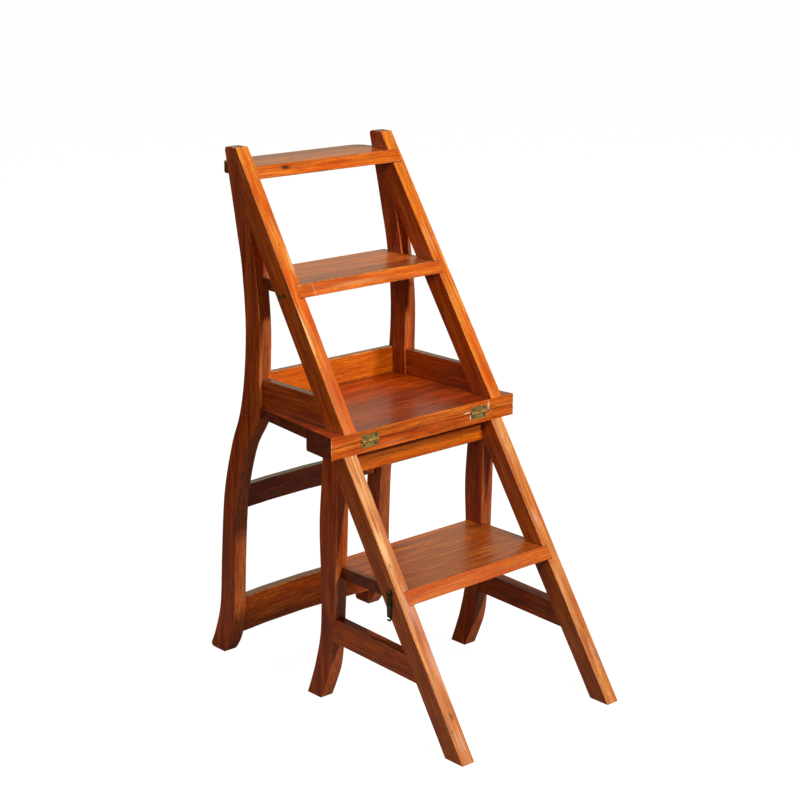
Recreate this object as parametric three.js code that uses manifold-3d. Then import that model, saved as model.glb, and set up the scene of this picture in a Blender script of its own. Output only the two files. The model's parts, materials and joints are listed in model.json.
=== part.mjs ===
// Folding library chair in its ladder position: a lower and an upper frame hinged along the seat's front.
// X runs across the treads, the treads are climbed from the -Y side, Z is up, and the floor is z = 0.
import * as THREE from "three";
import { mergeVertices } from "three/addons/utils/BufferGeometryUtils.js";
import Module from "manifold-3d";

const wasm = await Module();
wasm.setup();

// Driving dimensions, in millimetres.
const HINGE_HEIGHT = 450; // floor to the fold axis, which is the height of the chair's seat
const FRAME_CLEARANCE = 1; // between the two frames when the chair is folded over
const FOOT_CLEARANCE = 6; // floor to the worn rear feet then
const STRINGER_RUN = 278; // from the seat's front edge out to the lower stringer's toe
const POST_SETBACK = 16; // how far short of that the rear board ends, where the posts stand
const FOOT_SPREAD = 101; // from there back to the tip of a post's foot
const SEAT_HALF_WIDTH = 203; // at the hinge line
const SEAT_OVERHANG = 27.5; // seat edge past the outer face of a side frame, at the fold axis
const FRAME_THICKNESS = 25;
const UPPER_SPLAY = 6; // how far an upper side frame leans out over one hinge height, from top to foot
const LOWER_SPLAY = 3.2; // the same for a lower side frame
const BOARD_THICKNESS = 18;
const BOARD_GAP = 1; // between the two seat boards
const FIT = 0.3; // clearance of every glued, housed or screwed joint
const OVERRUN = 60; // how far a cutting solid runs past what it cuts
const WELD = 0.001; // vertices closer than this are one
const CURVE_STEPS = 4;
const ROUND_STEPS = 20;

// Heights and planes that follow from them.
const FRAME_HALF_WIDTH = SEAT_HALF_WIDTH - SEAT_OVERHANG;
const REAR_BOARD_DEPTH = STRINGER_RUN - POST_SETBACK;
const POST_REACH = REAR_BOARD_DEPTH + FOOT_SPREAD;
const LADDER_HEIGHT = 2 * HINGE_HEIGHT - FOOT_CLEARANCE;
const FOLD_AXIS_Y = -FRAME_CLEARANCE / 2;
const LOWER_BOARD_TOP = HINGE_HEIGHT - BOARD_GAP / 2;
const LOWER_BOARD_UNDERSIDE = LOWER_BOARD_TOP - BOARD_THICKNESS;
const UPPER_BOARD_UNDERSIDE = HINGE_HEIGHT + BOARD_GAP / 2;
const UPPER_BOARD_TOP = UPPER_BOARD_UNDERSIDE + BOARD_THICKNESS;
const STRINGER_SLOPE = STRINGER_RUN / LOWER_BOARD_UNDERSIDE;
const FRAME_INNER = FRAME_HALF_WIDTH - FRAME_THICKNESS;

// Stringers: slanting side bars that carry the treads. Depths are measured level.
const STRINGER_DEPTH = 44;
const TOE_DEPTH = 39; // of the lower stringer at the floor

// Posts: the S-curved chair back posts, which stand upside down here and run up to the rear legs' feet.
// Each row is a height share of the ladder, the rear edge's place as a share of the spread behind the
// seat board and a share of the depth.
const POST_DEPTH = 37;
const POST_ROW_SHARES = [
  [0.04, 0.8706, 1.257],
  [0.1, 0.7178, 1.054],
  [0.212, 0.6531, 1],
  [0.334, 0.5543, 1],
  [0.434, 0.3269, 1.068],
  [0.501, 0.0943, 1.38],
  [0.579, -0.0397, 1.081],
  [0.678, -0.089, 1],
  [0.78, -0.0099, 0.95],
  [0.846, 0.1087, 0.98],
  [0.908, 0.2273, 0.81],
  [1, 0.406, 0.73],
];
const FOOT_NOSE = 7; // rounding of the foot's rear tip
const FOOT_FLAT = 31; // the part of the foot that stands on the floor
const POST_END_ROUND = 6; // worn corners of the other end, in a side view
const FOOT_TOE_SHARE = [0.486, 0.016]; // where the foot's front curve bends, in spread and height

// Front legs of the chair, sabre shaped. Rows as for the posts, with the reach for the spread.
const LEG_REACH = 96.5; // from the seat's front edge back to the heel
const LEG_DEPTH = 36;
const LEG_ROW_SHARES = [
  [0, 1, 0.958],
  [0.07, 0.881, 1.014],
  [0.151, 0.762, 1.042],
  [0.279, 0.637, 0.889],
  [0.465, 0.617, 0.958],
  [0.697, 0.653, 1.167],
  [0.883, 0.591, 1.056],
  [1, 0.549, 0.944],
];

// Seat boards.
const FRONT_BOARD_DEPTH = 79;
const FRONT_BOARD_TAPER = 7; // how much narrower each side is where its rear corner starts
const FRONT_BOARD_CORNER = 16;
const REAR_BOARD_INSET = 1.5; // from the frame's outer face to the board's edge, at the posts
const REAR_BOARD_TAPER_DEPTH = 215; // where the board has become that narrow

// Treads: boards with a bevelled front, flush with the stringers and housed in the frames.
const TREAD_THICKNESS = 20;
const HOUSING_DEPTH = 10;
const LOWER_RISE = 237.5; // floor to the lower tread's top
const FOLDED_DROP = 3; // how far below the lower tread the middle one lies when the ladder is folded
const TOP_DROP = 30.5; // end of the posts down to the top tread
const LOWER_TREAD_REAR = 57;
const MIDDLE_TREAD_REAR = 280;
const TOP_TREAD_REAR = 353;
const TREAD_CORNER = 3;
const TOP_TREAD_CORNER = 26;
const TOP_TREAD_SHIFT = 9; // the top tread sits this far to the right of the middle

// Rails.
const SEAT_RAIL_HEIGHT = 46.5; // rails of the chair's seat, which stand on the rear board here
const SEAT_RAIL_THICKNESS = 13.5;
const SEAT_RAIL_INSET = 9; // from the frame's outer face to a side seat rail
const FRONT_RAIL_HEIGHT = 39.5;
const FRONT_RAIL_THICKNESS = 18;
const FRONT_RAIL_SETBACK = 1; // behind the leg's front edge
const STRETCHER_BOTTOM = 112; // at the leg's heel
const STRETCHER_FALL = 9; // how much lower it meets the stringer
const STRETCHER_HEIGHT = 39.5;
const STRETCHER_THICKNESS = 20;
const MID_RAIL_BOTTOM = 265;
const MID_RAIL_HEIGHT = 43;
const MID_RAIL_THICKNESS = 17;
const MID_RAIL_SETBACK = 13.5; // behind the post's front edge
const CREST_RAIL_BOTTOM = 31;
const CREST_RAIL_HEIGHT = 69;
const CREST_RAIL_THICKNESS = 18;
const CREST_RAIL_SETBACK = 7.5;
const RAIL_BOW = 13; // how far the back rails curve away from the sitter

// Butt hinges, let into the front edges of the seat boards.
const HINGE_FROM_EDGE = 81.5; // seat edge to the centre of a hinge
const LEAF_WIDTH = 36;
const LEAF_HEIGHT = 10.8; // from the fold axis
const LEAF_THICKNESS = 1.6;
const KNUCKLE_RADIUS = 2.2;
const PIN_RADIUS = 1;
const PIN_PLAY = 0.08;
const KNUCKLE_SHARE = 1 / 3; // three knuckles of equal length on each hinge
const SCREW_SPACING = 25;
const SCREW_HEIGHT = 6.8; // from the fold axis
const SCREW_HEAD_RADIUS = 2.3;
const SCREW_SHANK_RADIUS = 1.2;
const SCREW_HEAD_DEPTH = 1.2;
const SCREW_LENGTH = 14;

// Latch: a flat hook on each lower stringer that drops over a stud on the folded upper stringer.
const HOOK_DROP = 1.5; // from the lower tread's top down to the hook's pivot
const HOOK_PIVOT_SHARE = 0.4; // how far back in the stringer's depth the pivot lies
const HOOK_REACH = 43; // pivot to stud
const HOOK_ANGLE = 84; // degrees that the hook turns from hanging to engaged
const HOOK_EYE_RADIUS = 6;
const HOOK_WIDTH = 9; // at the slot
const HOOK_THICKNESS = 2;
const HOOK_STANDOFF = 2; // from the frame's outer face at the fold axis to the hook
const HOOK_TIP = 2.4; // material below the slot
const STUD_RADIUS = 1.6;
const STUD_PLAY = 0.3;
const STUD_HEAD_RADIUS = 4;
const STUD_HEAD_HEIGHT = 1.6;
const STUD_EMBED = 12;

const SIDES = { left: -1, right: 1 };

const finish = (color, roughness, metalness) =>
  new THREE.MeshStandardMaterial({ color, roughness, metalness });
const lacqueredWood = finish(0xb9560f, 0.3, 0);
const seatWood = finish(0xc4661f, 0.28, 0);
const brass = finish(0xa98243, 0.35, 1);
const darkSteel = finish(0x3b3633, 0.5, 0.9);

// A three.js geometry as a solid for joining and cutting.
function solidOf(geometry) {
  const bare = geometry.index ? geometry.toNonIndexed() : geometry.clone();
  bare.deleteAttribute("normal");
  bare.deleteAttribute("uv");
  const merged = mergeVertices(bare, WELD);
  return new wasm.Manifold(
    new wasm.Mesh({
      numProp: 3,
      vertProperties: merged.attributes.position.array,
      triVerts: new Uint32Array(merged.index.array),
    }),
  );
}

// A solid as a flat-shaded geometry.
function geometryOf(solid) {
  const mesh = solid.getMesh();
  const geometry = new THREE.BufferGeometry();
  geometry.setAttribute("position", new THREE.BufferAttribute(mesh.vertProperties, 3));
  geometry.setIndex(new THREE.BufferAttribute(mesh.triVerts, 1));
  const flat = geometry.toNonIndexed();
  flat.computeVertexNormals();
  return flat;
}

const ALONG_X = new THREE.Matrix4().makeBasis(
  new THREE.Vector3(0, 1, 0),
  new THREE.Vector3(0, 0, 1),
  new THREE.Vector3(1, 0, 0),
);
const ALONG_Y = new THREE.Matrix4().makeBasis(
  new THREE.Vector3(1, 0, 0),
  new THREE.Vector3(0, 0, 1),
  new THREE.Vector3(0, -1, 0),
);

function extrude(shape, depth) {
  return new THREE.ExtrudeGeometry(shape, { depth, bevelEnabled: false, curveSegments: CURVE_STEPS });
}

// A side view (y, z) extruded across X. The splay leans it out below the fold axis and in above it.
function sidePrism(shape, side, inner, outer, splay = 0) {
  const lean = (side * splay) / HINGE_HEIGHT;
  const geometry = extrude(shape, outer - inner);
  geometry.applyMatrix4(ALONG_X);
  geometry.translate(side > 0 ? inner : -outer, 0, 0);
  geometry.applyMatrix4(new THREE.Matrix4().makeShear(0, 0, 0, 0, -lean, 0));
  geometry.translate(lean * HINGE_HEIGHT, 0, 0);
  return solidOf(geometry);
}

// A plan (x, y) extruded up from one height to another, leaning along Y by a slope.
function planPrism(shape, bottom, top, slope = 0) {
  const geometry = extrude(shape, top - bottom);
  geometry.applyMatrix4(new THREE.Matrix4().makeShear(0, 0, 0, 0, 0, slope));
  geometry.translate(0, 0, bottom);
  return solidOf(geometry);
}

// A front view (x, z) extruded from one depth to another.
function frontPrism(shape, front, rear) {
  const geometry = extrude(shape, rear - front);
  geometry.applyMatrix4(ALONG_Y);
  geometry.translate(0, rear, 0);
  return solidOf(geometry);
}

function outline(points) {
  return new THREE.Shape(points.map(([a, b]) => new THREE.Vector2(a, b)));
}

function rectangle(left, right, low, high) {
  return outline([
    [left, low],
    [right, low],
    [right, high],
    [left, high],
  ]);
}

// The outer half width of a side frame at a height.
function frameOuterAt(height, splay) {
  return FRAME_HALF_WIDTH + (splay * (HINGE_HEIGHT - height)) / HINGE_HEIGHT;
}

// The space between the two side frames of one splay, as a solid that trims the cross pieces to length.
function betweenFrames(splay, low, high, margin) {
  const reachAt = (height) => frameOuterAt(height, splay) - FRAME_THICKNESS - margin;
  const shape = outline([
    [-reachAt(low), low],
    [reachAt(low), low],
    [reachAt(high), high],
    [-reachAt(high), high],
  ]);
  return frontPrism(shape, -STRINGER_RUN - OVERRUN, POST_REACH + OVERRUN);
}

// Curved bars: a table of rows and the sizes that its shares follow.
const POST = {
  rows: POST_ROW_SHARES,
  height: LADDER_HEIGHT,
  base: REAR_BOARD_DEPTH,
  spread: FOOT_SPREAD,
  depth: POST_DEPTH,
};
const LEG = {
  rows: LEG_ROW_SHARES,
  height: LOWER_BOARD_UNDERSIDE,
  base: 0,
  spread: LEG_REACH,
  depth: LEG_DEPTH,
};

function rearEdge(bar, margin) {
  return bar.rows.map(
    ([height, place]) =>
      new THREE.Vector2(bar.base + place * bar.spread + margin, height * bar.height),
  );
}

function frontEdge(bar, margin) {
  return bar.rows.map(
    ([height, place, depth]) =>
      new THREE.Vector2(
        bar.base + place * bar.spread - depth * bar.depth - margin,
        height * bar.height,
      ),
  );
}

// Where the front edge of a curved bar is at a height.
function frontAt(bar, height) {
  const edge = frontEdge(bar, 0);
  const above = Math.max(1, edge.findIndex((point) => point.y >= height));
  const [low, high] = [edge[above - 1], edge[above]];
  return low.x + ((high.x - low.x) * (height - low.y)) / (high.y - low.y);
}

function legShape() {
  const rear = rearEdge(LEG, 0);
  const front = frontEdge(LEG, 0).reverse();
  const shape = new THREE.Shape();
  shape.moveTo(rear[0].x, rear[0].y);
  shape.splineThru(rear.slice(1));
  shape.lineTo(front[0].x, front[0].y);
  shape.splineThru(front.slice(1));
  return shape;
}

function postShape(margin) {
  const rear = rearEdge(POST, margin);
  const front = frontEdge(POST, margin).reverse();
  const rearEnd = rear.pop();
  const frontEnd = front.shift();
  const round = new THREE.Vector2(0, POST_END_ROUND);
  const shape = new THREE.Shape();
  shape.moveTo(POST_REACH + margin, FOOT_NOSE);
  shape.splineThru([...rear, rearEnd.clone().sub(round)]);
  shape.quadraticCurveTo(rearEnd.x, rearEnd.y, rearEnd.x - POST_END_ROUND, rearEnd.y);
  shape.lineTo(frontEnd.x + POST_END_ROUND, frontEnd.y);
  shape.quadraticCurveTo(frontEnd.x, frontEnd.y, frontEnd.x, frontEnd.y - POST_END_ROUND);
  shape.splineThru(front);
  shape.quadraticCurveTo(
    REAR_BOARD_DEPTH + FOOT_SPREAD * FOOT_TOE_SHARE[0] - margin,
    LADDER_HEIGHT * FOOT_TOE_SHARE[1],
    POST_REACH - FOOT_NOSE - FOOT_FLAT,
    0,
  );
  shape.lineTo(POST_REACH - FOOT_NOSE, 0);
  shape.quadraticCurveTo(POST_REACH + margin, 0, POST_REACH + margin, FOOT_NOSE);
  return shape;
}

// Everything behind the front edge of a curved bar, which scribes a stringer or a stretcher to it.
function behindShape(bar, margin) {
  const edge = frontEdge(bar, margin);
  const top = edge[edge.length - 1];
  const rear = bar.base + bar.spread + OVERRUN;
  const shape = new THREE.Shape();
  shape.moveTo(edge[0].x, -OVERRUN);
  shape.lineTo(rear, -OVERRUN);
  shape.lineTo(rear, bar.height + OVERRUN);
  shape.lineTo(top.x, bar.height + OVERRUN);
  shape.lineTo(top.x, top.y);
  shape.splineThru(edge.reverse().slice(1));
  return shape;
}

function behind(bar, side) {
  return sidePrism(
    behindShape(bar, FIT),
    side,
    FRAME_INNER - OVERRUN,
    FRAME_HALF_WIDTH + OVERRUN,
  );
}

// Front and rear faces of the stringers at a height.
function stringerFrontAt(height) {
  return height > HINGE_HEIGHT
    ? (height - UPPER_BOARD_TOP) * STRINGER_SLOPE
    : (height - LOWER_BOARD_UNDERSIDE) * STRINGER_SLOPE;
}

function stringerRearAt(height) {
  const toeShare = Math.max(0, 1 - height / LOWER_BOARD_UNDERSIDE);
  return stringerFrontAt(height) + STRINGER_DEPTH - toeShare * (STRINGER_DEPTH - TOE_DEPTH);
}

function stringerShape(low, high) {
  return outline([
    [stringerFrontAt(low), low],
    [stringerRearAt(low), low],
    [stringerRearAt(high), high],
    [stringerFrontAt(high), high],
  ]);
}

// Treads. The grown copy of a tread cuts its housings into the frames.
const TREADS = {
  lower_tread: {
    top: LOWER_RISE,
    rear: LOWER_TREAD_REAR,
    corner: TREAD_CORNER,
    shift: 0,
    splay: LOWER_SPLAY,
  },
  middle_tread: {
    top: 2 * HINGE_HEIGHT - LOWER_RISE + TREAD_THICKNESS + FOLDED_DROP,
    rear: MIDDLE_TREAD_REAR,
    corner: TREAD_CORNER,
    shift: 0,
    splay: UPPER_SPLAY,
  },
  top_tread: {
    top: LADDER_HEIGHT - TOP_DROP,
    rear: TOP_TREAD_REAR,
    corner: TOP_TREAD_CORNER,
    shift: TOP_TREAD_SHIFT,
    splay: UPPER_SPLAY,
  },
};

// A board's plan with a straight front and two rounded rear corners.
function roundedPlan(frontHalf, rearHalf, front, rear, corner) {
  const shape = new THREE.Shape();
  shape.moveTo(-frontHalf, front);
  shape.lineTo(frontHalf, front);
  shape.lineTo(rearHalf, rear - corner);
  shape.quadraticCurveTo(rearHalf, rear, rearHalf - corner, rear);
  shape.lineTo(corner - rearHalf, rear);
  shape.quadraticCurveTo(-rearHalf, rear, -rearHalf, rear - corner);
  return shape;
}

function treadHalfLength(tread) {
  return frameOuterAt(tread.top - TREAD_THICKNESS / 2, tread.splay) - FRAME_THICKNESS + HOUSING_DEPTH;
}

function treadSolid(tread) {
  const bottom = tread.top - TREAD_THICKNESS;
  const half = treadHalfLength(tread);
  const plan = roundedPlan(half, half, stringerFrontAt(bottom), tread.rear, tread.corner);
  const bevel = outline([
    [stringerFrontAt(bottom), bottom],
    [tread.rear + OVERRUN, bottom],
    [tread.rear + OVERRUN, tread.top],
    [stringerFrontAt(tread.top), tread.top],
  ]);
  return planPrism(plan, bottom, tread.top)
    .intersect(sidePrism(bevel, 1, -half - OVERRUN, half + OVERRUN))
    .translate([tread.shift, 0, 0]);
}

function treadHousing(tread, side) {
  const bottom = tread.top - TREAD_THICKNESS - FIT;
  const front = stringerFrontAt(bottom) - OVERRUN;
  const shape = rectangle(front, tread.rear + FIT, bottom, tread.top + FIT);
  const end = treadHalfLength(tread) + side * tread.shift;
  return sidePrism(shape, side, FRAME_INNER - OVERRUN, end + FIT);
}

// Turned metal pieces: a profile of (radius, distance along the axis).
function turned(profile) {
  return new THREE.LatheGeometry(
    profile.map(([radius, along]) => new THREE.Vector2(radius, along)),
    ROUND_STEPS,
  );
}

// The same, with its axis turned to point outwards on one side.
function turnedAcross(profile, side) {
  return turned(profile).rotateZ((-side * Math.PI) / 2);
}

function rod(radius, from, to) {
  return [
    [0, from],
    [radius, from],
    [radius, to],
    [0, to],
  ];
}

// Hinges. The lower leaf carries the two outer knuckles and the upper leaf the middle one.
const HINGE_PLACE = SEAT_HALF_WIDTH - HINGE_FROM_EDGE;
const KNUCKLE_HALF = (LEAF_WIDTH * KNUCKLE_SHARE) / 2;
const KNUCKLE_SPANS = {
  lower: [
    [-LEAF_WIDTH / 2, -KNUCKLE_HALF - FIT / 2],
    [KNUCKLE_HALF + FIT / 2, LEAF_WIDTH / 2],
  ],
  upper: [[-KNUCKLE_HALF + FIT / 2, KNUCKLE_HALF - FIT / 2]],
};
const OTHER_LEAF = { lower: "upper", upper: "lower" };

function onHingeAxis(profile, side) {
  const geometry = turnedAcross(profile, 1);
  geometry.translate(side * HINGE_PLACE, FOLD_AXIS_Y, HINGE_HEIGHT);
  return geometry;
}

function screwPlaces(side, level) {
  return [-SCREW_SPACING / 2, SCREW_SPACING / 2].map(
    (along) =>
      new THREE.Vector3(side * HINGE_PLACE + along, 0, HINGE_HEIGHT + level * SCREW_HEIGHT),
  );
}

// A countersunk screw from its head down. The margin is the clearance of its hole.
function screwProfile(margin) {
  return [
    [SCREW_HEAD_RADIUS + margin, 0],
    [SCREW_SHANK_RADIUS + margin, SCREW_HEAD_DEPTH],
    [SCREW_SHANK_RADIUS + margin, SCREW_LENGTH - SCREW_HEAD_RADIUS],
    [0, SCREW_LENGTH + margin],
  ];
}

function hingeScrew() {
  return turned([[0, 0], ...screwProfile(0)]);
}

function screwHole(place) {
  const mouth = [
    [0, -FIT],
    [SCREW_HEAD_RADIUS + FIT, -FIT],
  ];
  const geometry = turned([...mouth, ...screwProfile(FIT)]);
  geometry.translate(place.x, place.y, place.z);
  return solidOf(geometry);
}

// The flat of a leaf, grown by a margin on the sides that are let into the wood.
function leafPlate(side, level, margin) {
  const near = HINGE_HEIGHT + (level * BOARD_GAP) / 2 - level * margin;
  const far = HINGE_HEIGHT + level * (LEAF_HEIGHT + margin);
  const half = LEAF_WIDTH / 2 + margin;
  const centre = side * HINGE_PLACE;
  const face = rectangle(centre - half, centre + half, Math.min(near, far), Math.max(near, far));
  return frontPrism(face, margin > 0 ? -OVERRUN : 0, LEAF_THICKNESS + margin);
}

function hingeLeaf(side, name) {
  const level = name === "upper" ? 1 : -1;
  const bore = PIN_RADIUS + PIN_PLAY;
  let leaf = leafPlate(side, level, 0);
  for (const [from, to] of KNUCKLE_SPANS[OTHER_LEAF[name]])
    leaf = leaf.subtract(
      solidOf(onHingeAxis(rod(KNUCKLE_RADIUS + FIT, from - FIT, to + FIT), side)),
    );
  for (const [from, to] of KNUCKLE_SPANS[name])
    leaf = leaf.add(solidOf(onHingeAxis(rod(KNUCKLE_RADIUS, from, to), side)));
  leaf = leaf.subtract(solidOf(onHingeAxis(rod(bore, -LEAF_WIDTH, LEAF_WIDTH), side)));
  for (const place of screwPlaces(side, level)) leaf = leaf.subtract(screwHole(place));
  return leaf;
}

// The recess that a leaf, the knuckles and the screws need in a board.
function cutHingeSeat(board, side, level) {
  const half = LEAF_WIDTH / 2 + FIT;
  let cut = board.subtract(leafPlate(side, level, FIT));
  cut = cut.subtract(solidOf(onHingeAxis(rod(KNUCKLE_RADIUS + FIT, -half, half), side)));
  for (const place of screwPlaces(side, level)) cut = cut.subtract(screwHole(place));
  return cut;
}

function frontBoard() {
  const plan = roundedPlan(
    SEAT_HALF_WIDTH,
    SEAT_HALF_WIDTH - FRONT_BOARD_TAPER,
    0,
    FRONT_BOARD_DEPTH,
    FRONT_BOARD_CORNER,
  );
  let board = planPrism(plan, LOWER_BOARD_UNDERSIDE, LOWER_BOARD_TOP);
  for (const side of Object.values(SIDES)) board = cutHingeSeat(board, side, -1);
  return board;
}

// A post with the clearance of its joints, run out past the frame where a board is notched round it.
function grownPost(side) {
  return sidePrism(
    postShape(FIT),
    side,
    FRAME_INNER - FIT,
    FRAME_HALF_WIDTH + OVERRUN,
    UPPER_SPLAY,
  );
}

function rearBoard() {
  const narrow = FRAME_HALF_WIDTH - REAR_BOARD_INSET;
  const plan = outline([
    [-SEAT_HALF_WIDTH, 0],
    [SEAT_HALF_WIDTH, 0],
    [narrow, REAR_BOARD_TAPER_DEPTH],
    [narrow, REAR_BOARD_DEPTH],
    [-narrow, REAR_BOARD_DEPTH],
    [-narrow, REAR_BOARD_TAPER_DEPTH],
  ]);
  let board = planPrism(plan, UPPER_BOARD_UNDERSIDE, UPPER_BOARD_TOP);
  for (const side of Object.values(SIDES)) {
    board = cutHingeSeat(board, side, 1);
    board = board.subtract(grownPost(side));
  }
  return board;
}

function bowedRail(bottom, height, setback, thickness) {
  const top = bottom + height;
  const half = frameOuterAt(bottom, UPPER_SPLAY);
  const front = frontAt(POST, bottom) + setback;
  const slope = (frontAt(POST, top) - frontAt(POST, bottom)) / height;
  const shape = new THREE.Shape();
  shape.moveTo(-half, front);
  shape.quadraticCurveTo(0, front + 2 * RAIL_BOW, half, front);
  shape.lineTo(half, front + thickness);
  shape.quadraticCurveTo(0, front + thickness + 2 * RAIL_BOW, -half, front + thickness);
  return planPrism(shape, bottom, top, slope).intersect(
    betweenFrames(UPPER_SPLAY, bottom, top, FIT),
  );
}

function sideSeatRail(side) {
  const top = UPPER_BOARD_TOP + SEAT_RAIL_HEIGHT;
  const outer = FRAME_HALF_WIDTH - SEAT_RAIL_INSET;
  const shape = outline([
    [stringerRearAt(UPPER_BOARD_TOP) + FIT, UPPER_BOARD_TOP],
    [REAR_BOARD_DEPTH, UPPER_BOARD_TOP],
    [REAR_BOARD_DEPTH, top],
    [stringerRearAt(top) + FIT, top],
  ]);
  return sidePrism(shape, side, outer - SEAT_RAIL_THICKNESS, outer).subtract(behind(POST, side));
}

function backSeatRail() {
  const top = UPPER_BOARD_TOP + SEAT_RAIL_HEIGHT;
  const half = FRAME_HALF_WIDTH;
  return planPrism(
    rectangle(-half, half, REAR_BOARD_DEPTH - SEAT_RAIL_THICKNESS, REAR_BOARD_DEPTH),
    UPPER_BOARD_TOP,
    top,
  ).intersect(betweenFrames(UPPER_SPLAY, UPPER_BOARD_TOP, top, FIT));
}

function frontRail() {
  const bottom = LOWER_BOARD_UNDERSIDE - FRONT_RAIL_HEIGHT;
  const front = frontAt(LEG, LOWER_BOARD_UNDERSIDE) + FRONT_RAIL_SETBACK;
  const half = FRAME_HALF_WIDTH;
  return planPrism(
    rectangle(-half, half, front, front + FRONT_RAIL_THICKNESS),
    bottom,
    LOWER_BOARD_UNDERSIDE,
  ).intersect(betweenFrames(LOWER_SPLAY, bottom, LOWER_BOARD_UNDERSIDE, FIT));
}

function sideStretcher(side) {
  const top = STRETCHER_BOTTOM + STRETCHER_HEIGHT;
  const low = STRETCHER_BOTTOM - STRETCHER_FALL;
  const high = top - STRETCHER_FALL;
  const shape = outline([
    [stringerRearAt(low) + FIT, low],
    [LEG_REACH, STRETCHER_BOTTOM],
    [LEG_REACH, top],
    [stringerRearAt(high) + FIT, high],
  ]);
  return sidePrism(
    shape,
    side,
    FRAME_HALF_WIDTH - STRETCHER_THICKNESS,
    FRAME_HALF_WIDTH,
    LOWER_SPLAY,
  ).subtract(behind(LEG, side));
}

// Latch. The hook's own origin is its pivot, and it hangs down.
const HOOK_PIVOT_HEIGHT = LOWER_RISE - HOOK_DROP;
const HOOK_PIVOT_Y = THREE.MathUtils.lerp(
  stringerFrontAt(HOOK_PIVOT_HEIGHT),
  stringerRearAt(HOOK_PIVOT_HEIGHT),
  HOOK_PIVOT_SHARE,
);
const HOOK_INNER = FRAME_HALF_WIDTH + HOOK_STANDOFF;
const HOOK_OUTER = HOOK_INNER + HOOK_THICKNESS;
const HOOK_SLOT_HALF = STUD_RADIUS + STUD_PLAY;
const HOOK_SLOT_Y = HOOK_SLOT_HALF - HOOK_WIDTH / 2 + HOOK_TIP;
const HOOK_TURN = THREE.MathUtils.degToRad(HOOK_ANGLE);

// Where the engaged hook holds the stud, folded back to the stud's place on the open ladder.
function studPlace() {
  const y = HOOK_SLOT_Y * Math.cos(HOOK_TURN) - HOOK_REACH * Math.sin(HOOK_TURN);
  const z = -HOOK_SLOT_Y * Math.sin(HOOK_TURN) - HOOK_REACH * Math.cos(HOOK_TURN);
  return {
    y: 2 * FOLD_AXIS_Y - HOOK_PIVOT_Y - y,
    z: 2 * HINGE_HEIGHT - HOOK_PIVOT_HEIGHT - z,
  };
}

function hookShape() {
  const half = HOOK_WIDTH / 2;
  const tip = HOOK_REACH + HOOK_SLOT_HALF + HOOK_TIP;
  const shape = new THREE.Shape();
  shape.moveTo(HOOK_EYE_RADIUS, 0);
  shape.absarc(0, 0, HOOK_EYE_RADIUS, 0, Math.PI, false);
  shape.lineTo(-half, half - tip);
  shape.quadraticCurveTo(-half, -tip, 0, -tip);
  shape.lineTo(half, -tip);
  shape.lineTo(half, -HOOK_REACH - HOOK_SLOT_HALF);
  shape.lineTo(HOOK_SLOT_Y, -HOOK_REACH - HOOK_SLOT_HALF);
  shape.absarc(HOOK_SLOT_Y, -HOOK_REACH, HOOK_SLOT_HALF, -Math.PI / 2, Math.PI / 2, true);
  shape.lineTo(half, -HOOK_REACH + HOOK_SLOT_HALF);
  const pivot = new THREE.Path();
  pivot.absarc(0, 0, STUD_RADIUS + STUD_PLAY, 0, Math.PI * 2, true);
  shape.holes.push(pivot);
  return shape;
}

// A stud: a shank sunk into the frame and a low head outside the hook.
function studProfile(depth, margin) {
  const head = HOOK_OUTER + STUD_PLAY;
  return [
    [0, depth - margin],
    [STUD_RADIUS + margin, depth - margin],
    [STUD_RADIUS + margin, head],
    [STUD_HEAD_RADIUS, head],
    [STUD_HEAD_RADIUS, head + STUD_HEAD_HEIGHT / 2],
    [STUD_HEAD_RADIUS - STUD_HEAD_HEIGHT / 2, head + STUD_HEAD_HEIGHT],
    [0, head + STUD_HEAD_HEIGHT],
  ];
}

function studHole(side, y, z, depth) {
  const geometry = turnedAcross(rod(STUD_RADIUS + FIT, depth - FIT, HOOK_OUTER), side);
  geometry.translate(0, y, z);
  return solidOf(geometry);
}

const PIVOT_DEPTH = frameOuterAt(HOOK_PIVOT_HEIGHT, LOWER_SPLAY) - STUD_EMBED;
const STUD_PLACE = studPlace();
const STUD_DEPTH = frameOuterAt(STUD_PLACE.z, UPPER_SPLAY) - STUD_EMBED;

function lowerStringer(side) {
  return sidePrism(
    stringerShape(0, LOWER_BOARD_UNDERSIDE),
    side,
    FRAME_INNER,
    FRAME_HALF_WIDTH,
    LOWER_SPLAY,
  )
    .subtract(behind(LEG, side))
    .subtract(treadHousing(TREADS.lower_tread, side))
    .subtract(studHole(side, HOOK_PIVOT_Y, HOOK_PIVOT_HEIGHT, PIVOT_DEPTH));
}

function frontLeg(side) {
  return sidePrism(legShape(), side, FRAME_INNER, FRAME_HALF_WIDTH, LOWER_SPLAY).subtract(
    treadHousing(TREADS.lower_tread, side),
  );
}

function upperStringer(side) {
  return sidePrism(
    stringerShape(UPPER_BOARD_TOP, LADDER_HEIGHT),
    side,
    FRAME_INNER,
    FRAME_HALF_WIDTH,
    UPPER_SPLAY,
  )
    .subtract(behind(POST, side))
    .subtract(treadHousing(TREADS.middle_tread, side))
    .subtract(treadHousing(TREADS.top_tread, side))
    .subtract(studHole(side, STUD_PLACE.y, STUD_PLACE.z, STUD_DEPTH));
}

function post(side) {
  return sidePrism(postShape(0), side, FRAME_INNER, FRAME_HALF_WIDTH, UPPER_SPLAY)
    .subtract(treadHousing(TREADS.middle_tread, side))
    .subtract(treadHousing(TREADS.top_tread, side));
}

function addMesh(parent, name, geometry, material) {
  const mesh = new THREE.Mesh(geometry, material);
  mesh.name = name;
  parent.add(mesh);
  return mesh;
}

function addSolid(parent, name, solid, material) {
  return addMesh(parent, name, geometryOf(solid), material);
}

const lowerFrame = new THREE.Group();
const upperFrame = new THREE.Group();

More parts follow.
